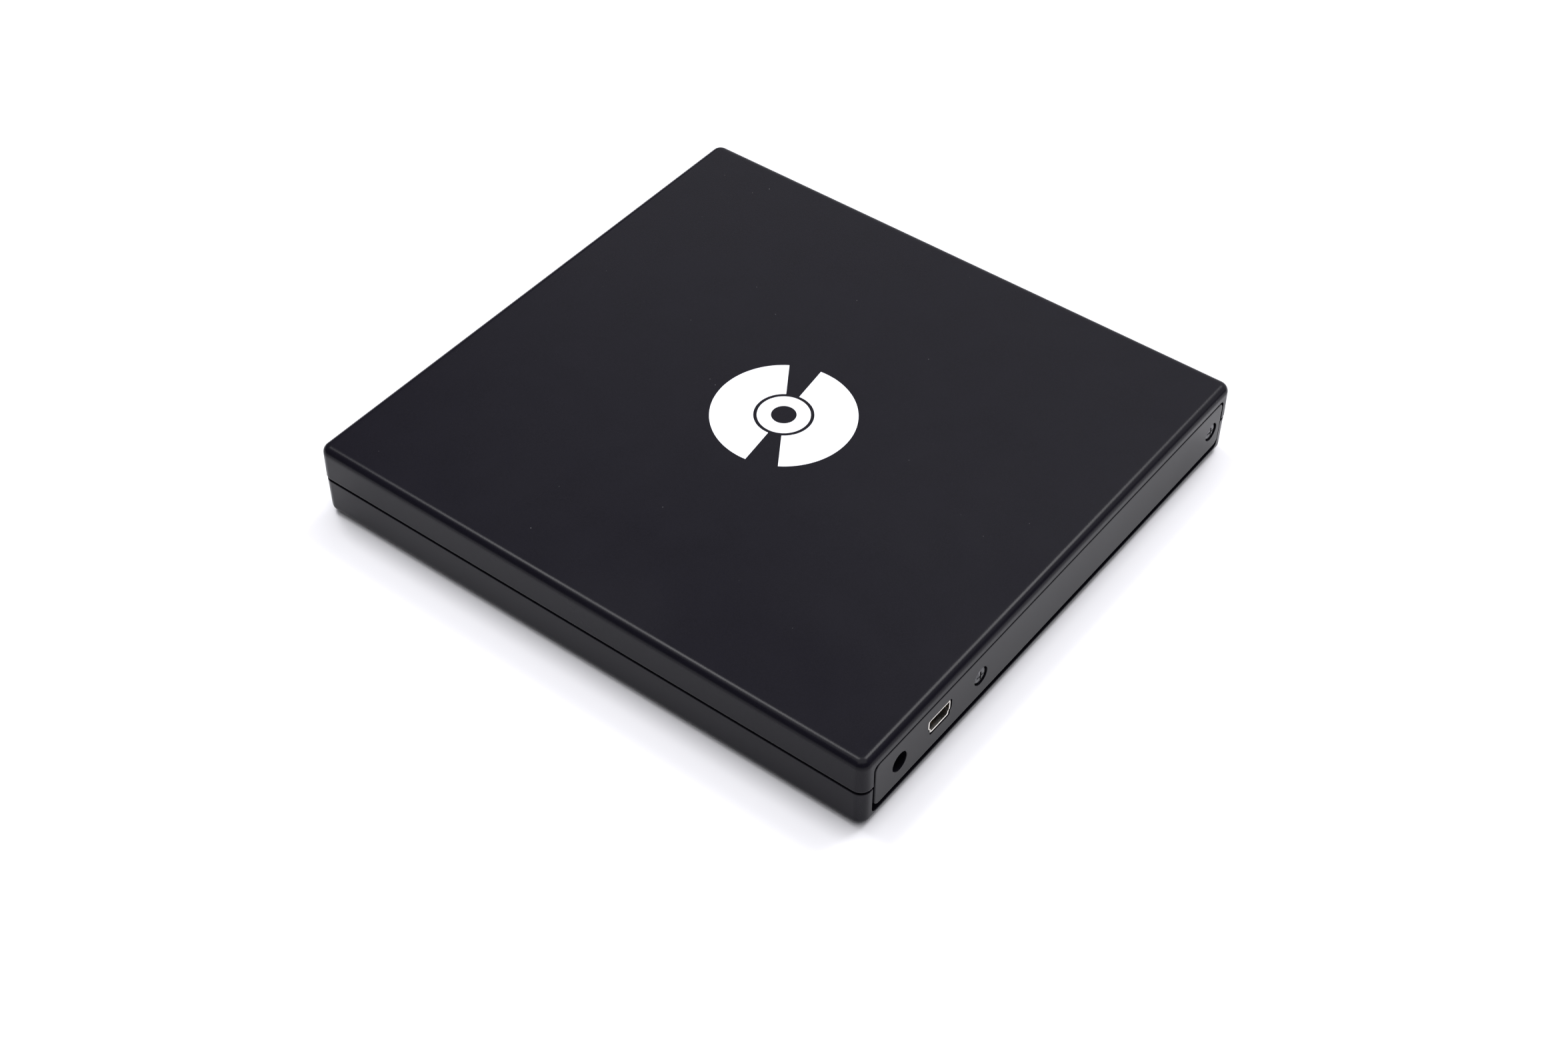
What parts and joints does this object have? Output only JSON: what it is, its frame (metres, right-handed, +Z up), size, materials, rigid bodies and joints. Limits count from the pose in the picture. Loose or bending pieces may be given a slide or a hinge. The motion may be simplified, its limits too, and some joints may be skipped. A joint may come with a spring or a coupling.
{
  "type": "external optical drive",
  "caption": "Slim portable optical drive: a flat black two-part case with a screwed back panel and sockets, and a slide-out disc tray with its spindle, pickup and eject button.",
  "frame": {"origin": "middle of the footprint, on the surface that the rubber feet stand on", "axes": "+Z up, +Y towards the back panel with the sockets, -Y towards the side the tray comes out of, +X towards the power jack's end of the back panel"},
  "size_m": [0.143, 0.1502, 0.02],
  "materials": {
    "case_plastic": "black moulded plastic with a fine satin texture",
    "panel_plastic": "black moulded plastic, smoother than the covers",
    "black_screw": "black oxide steel",
    "rubber": "matt black rubber",
    "circuit_board": "green solder mask with copper tracks",
    "chip": "black moulded package",
    "nickel": "bright nickel plate",
    "can_aluminium": "drawn can",
    "dark_plastic": "black engineering plastic",
    "sheet_steel": "zinc-plated sheet steel",
    "ribbon": "amber film with copper tracks",
    "spring_steel": "drawn wire",
    "tray_plastic": "black moulded plastic with a fine texture",
    "bezel_plastic": "black moulded plastic, satin",
    "light_pipe": "frosted clear plastic",
    "sled_metal": "die-cast",
    "lens": "coated moulded lens",
    "spindle_metal": "turned",
    "white_plastic": "white acetal"
  },
  "bodies": {
    "case": {"top_cover": "case_plastic", "bottom_cover": "case_plastic", "back_panel": "panel_plastic", "back_screw_1": "black_screw", "back_screw_2": "black_screw", "foot_1": "rubber", "foot_2": "rubber", "foot_3": "rubber", "foot_4": "rubber", "adapter_board": "circuit_board", "bridge_chip": "chip", "crystal_can": "nickel", "filter_capacitor_1": "can_aluminium", "filter_capacitor_2": "can_aluminium", "board_connector": "dark_plastic", "usb_socket_shell": "nickel", "usb_socket_tongue": "chip", "power_jack": "chip", "power_jack_pin": "nickel", "drive_pan": "sheet_steel", "drive_lid": "sheet_steel", "lid_screw_1": "black_screw", "lid_screw_2": "black_screw", "left_rail_guide": "dark_plastic", "right_rail_guide": "dark_plastic", "main_board": "circuit_board", "main_processor": "chip", "servo_chip": "chip", "drive_connector": "dark_plastic", "flex_cable": "ribbon", "kick_housing": "dark_plastic", "kick_spring": "spring_steel"},
    "tray": {"disc_tray": "tray_plastic", "tray_bezel": "bezel_plastic", "activity_light": "light_pipe", "front_board": "circuit_board", "button_switch": "chip", "tray_shield": "sheet_steel", "latch_solenoid": "sheet_steel", "traverse_frame": "sheet_steel", "outer_guide_rod": "nickel", "inner_guide_rod": "nickel", "feed_motor": "can_aluminium", "spindle_base": "sheet_steel"},
    "left_slide": {"left_rail": "sheet_steel"},
    "right_slide": {"right_rail": "sheet_steel"},
    "kick": {"kick_plunger": "sheet_steel"},
    "button": {"eject_button": "bezel_plastic"},
    "latch": {"latch_lever": "dark_plastic"},
    "spindle": {"turntable": "spindle_metal", "turntable_pad": "rubber"},
    "claw_a": {"disc_claw_1": "white_plastic"},
    "claw_b": {"disc_claw_2": "white_plastic"},
    "claw_c": {"disc_claw_3": "white_plastic"},
    "pickup": {"pickup_sled": "sled_metal"},
    "lens": {"lens_frame": "dark_plastic", "objective_lens": "lens"},
    "screw": {"lead_screw": "nickel"}
  },
  "joints": [
    {"name": "tray_slide", "type": "slide", "parent": "case", "child": "tray", "axis": [0, -1, 0], "range_m": [0, 0.126]},
    {"name": "left_rail_slide", "type": "slide", "parent": "case", "child": "left_slide", "axis": [0, -1, 0], "range_m": [0, 0.063]},
    {"name": "right_rail_slide", "type": "slide", "parent": "case", "child": "right_slide", "axis": [0, -1, 0], "range_m": [0, 0.063]},
    {"name": "kick_slide", "type": "slide", "parent": "case", "child": "kick", "axis": [0, -1, 0], "range_m": [0, 0.008], "deforming": ["kick_spring"]},
    {"name": "eject_press", "type": "slide", "parent": "tray", "child": "button", "axis": [0, 1, 0], "range_m": [0, 0.0007], "stiffness_N_per_m": 400},
    {"name": "latch_turn", "type": "hinge", "parent": "tray", "child": "latch", "pos_m": [-0.05, -0.046, 0.007], "axis": [0, 0, 1], "range_deg": [-10, 0]},
    {"name": "spindle_turn", "type": "hinge", "parent": "tray", "child": "spindle", "pos_m": [0, -0.01, 0.01], "axis": [0, 0, 1], "continuous": true},
    {"name": "claw_a_press", "type": "slide", "parent": "spindle", "child": "claw_a", "axis": [-0.7071, 0.7071, 0], "range_m": [0, 0.0007], "stiffness_N_per_m": 300},
    {"name": "claw_b_press", "type": "slide", "parent": "spindle", "child": "claw_b", "axis": [-0.2588, -0.9659, 0], "range_m": [0, 0.0007], "stiffness_N_per_m": 300},
    {"name": "claw_c_press", "type": "slide", "parent": "spindle", "child": "claw_c", "axis": [0.9659, 0.2588, 0], "range_m": [0, 0.0007], "stiffness_N_per_m": 300},
    {"name": "pickup_slide", "type": "slide", "parent": "tray", "child": "pickup", "axis": [0.7071, -0.7071, 0], "range_m": [0, 0.035]},
    {"name": "lens_focus", "type": "slide", "parent": "pickup", "child": "lens", "axis": [0, 0, 1], "range_m": [-0.0004, 0.0004], "stiffness_N_per_m": 40},
    {"name": "lead_screw_turn", "type": "hinge", "parent": "tray", "child": "screw", "pos_m": [-0.00849, -0.01849, 0.008], "axis": [0.7071, -0.7071, 0], "range_deg": [0, 4205]}
  ],
  "couplings": [
    {"joint": "left_rail_slide", "follows": "tray_slide", "ratio": 0.5},
    {"joint": "right_rail_slide", "follows": "tray_slide", "ratio": 0.5},
    {"joint": "kick_slide", "follows": "tray_slide", "ratio": 0.0634},
    {"joint": "lead_screw_turn", "follows": "pickup_slide", "rad_per_m": 2094.4}
  ]
}
